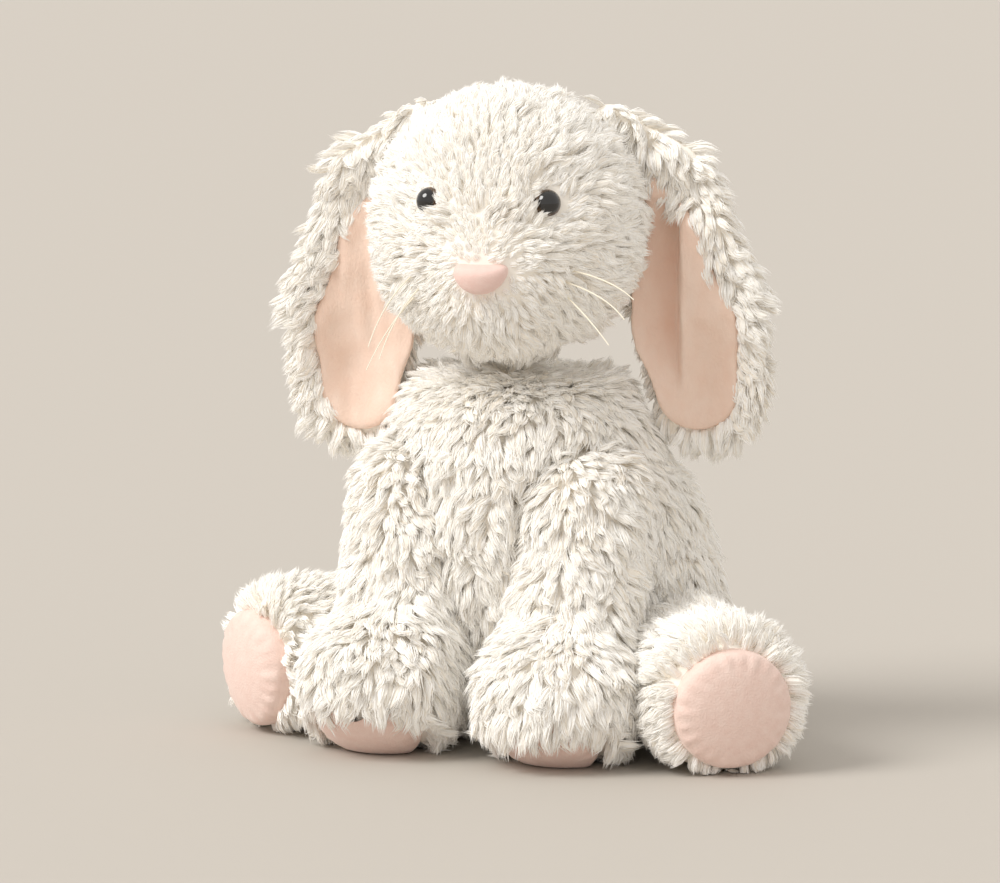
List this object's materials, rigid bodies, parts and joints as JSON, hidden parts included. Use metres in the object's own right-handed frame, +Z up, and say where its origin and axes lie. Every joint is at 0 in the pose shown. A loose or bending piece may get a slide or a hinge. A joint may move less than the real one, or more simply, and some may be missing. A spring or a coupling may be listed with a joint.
{
  "type": "stuffed bunny rabbit",
  "caption": "Sitting stuffed bunny in long white plush, with drooping lined ears, bare pink foot pads, plastic eyes, a sewn nose and whiskers.",
  "frame": {"origin": "centre of the flat seat, on the surface the bunny sits on", "axes": "+Z up, the body faces -Y, +X is the bunny's own left"},
  "size_m": [0.2665, 0.2398, 0.284],
  "materials": {
    "plush_fur": "long curly pile, matt with a soft sheen",
    "pink_velour": "short nap velour",
    "filling": "loose polyester fibre",
    "eye_plastic": "polished",
    "washer_plastic": "moulded",
    "whisker_nylon": "smooth filament",
    "pouch_cloth": "plain woven cotton",
    "pellet_plastic": "small moulded beads"
  },
  "bodies": {
    "torso": {"torso_front_panel": "plush_fur", "torso_back_left_panel": "plush_fur", "torso_back_right_panel": "plush_fur", "seat_panel": "plush_fur", "torso_stuffing": "filling", "pellet_pouch": "pouch_cloth", "pellets": "pellet_plastic", "tail_fur": "plush_fur", "tail_stuffing": "filling"},
    "neck": {"neck_stuffing": "filling"},
    "head": {"head_gusset": "plush_fur", "head_left_panel": "plush_fur", "head_right_panel": "plush_fur", "chin_panel": "plush_fur", "head_stuffing": "filling", "nose": "pink_velour", "eye_left": "eye_plastic", "eye_washer_left": "washer_plastic", "whisker_left_upper": "whisker_nylon", "whisker_left_middle": "whisker_nylon", "whisker_left_lower": "whisker_nylon", "eye_right": "eye_plastic", "eye_washer_right": "washer_plastic", "whisker_right_upper": "whisker_nylon", "whisker_right_middle": "whisker_nylon", "whisker_right_lower": "whisker_nylon"},
    "ear_left": {"ear_left_fur": "plush_fur", "ear_left_lining": "pink_velour"},
    "foreleg_left": {"foreleg_left_outer_panel": "plush_fur", "foreleg_left_inner_panel": "plush_fur", "foreleg_left_pad": "pink_velour", "foreleg_left_stuffing": "filling"},
    "hind_leg_left": {"hind_leg_left_upper_panel": "plush_fur", "hind_leg_left_lower_panel": "plush_fur", "hind_leg_left_sole": "pink_velour", "hind_leg_left_stuffing": "filling"},
    "ear_right": {"ear_right_fur": "plush_fur", "ear_right_lining": "pink_velour"},
    "foreleg_right": {"foreleg_right_outer_panel": "plush_fur", "foreleg_right_inner_panel": "plush_fur", "foreleg_right_pad": "pink_velour", "foreleg_right_stuffing": "filling"},
    "hind_leg_right": {"hind_leg_right_upper_panel": "plush_fur", "hind_leg_right_lower_panel": "plush_fur", "hind_leg_right_sole": "pink_velour", "hind_leg_right_stuffing": "filling"}
  },
  "joints": [
    {"name": "neck_turn", "type": "hinge", "parent": "torso", "child": "neck", "pos_m": [0, -0.052, 0.16], "axis": [0, 0, 1], "range_deg": [-45, 25], "stiffness_Nm_per_rad": 0.5},
    {"name": "neck_nod", "type": "hinge", "parent": "neck", "child": "head", "pos_m": [0, -0.052, 0.16], "axis": [0.9781, 0.2079, 0], "range_deg": [-12, 18], "stiffness_Nm_per_rad": 1.2},
    {"name": "ear_left_lift", "type": "hinge", "parent": "head", "child": "ear_left", "pos_m": [0.03734, -0.02566, 0.264], "axis": [0.2079, -0.9781, 0], "range_deg": [0, 70]},
    {"name": "foreleg_left_swing", "type": "hinge", "parent": "torso", "child": "foreleg_left", "pos_m": [0.038, -0.06, 0.106], "axis": [-1, 0, 0], "range_deg": [0, 60], "stiffness_Nm_per_rad": 0.25},
    {"name": "hind_leg_left_splay", "type": "hinge", "parent": "torso", "child": "hind_leg_left", "pos_m": [0.056, -0.014, 0.036], "axis": [0, 0, 1], "range_deg": [0, 30], "stiffness_Nm_per_rad": 0.25},
    {"name": "ear_right_lift", "type": "hinge", "parent": "head", "child": "ear_right", "pos_m": [-0.04482, -0.04313, 0.264], "axis": [-0.2079, 0.9781, 0], "range_deg": [0, 70]},
    {"name": "foreleg_right_swing", "type": "hinge", "parent": "torso", "child": "foreleg_right", "pos_m": [-0.038, -0.06, 0.106], "axis": [-1, 0, 0], "range_deg": [0, 60], "stiffness_Nm_per_rad": 0.25},
    {"name": "hind_leg_right_splay", "type": "hinge", "parent": "torso", "child": "hind_leg_right", "pos_m": [-0.056, -0.01, 0.036], "axis": [0, 0, -1], "range_deg": [0, 30], "stiffness_Nm_per_rad": 0.25}
  ]
}
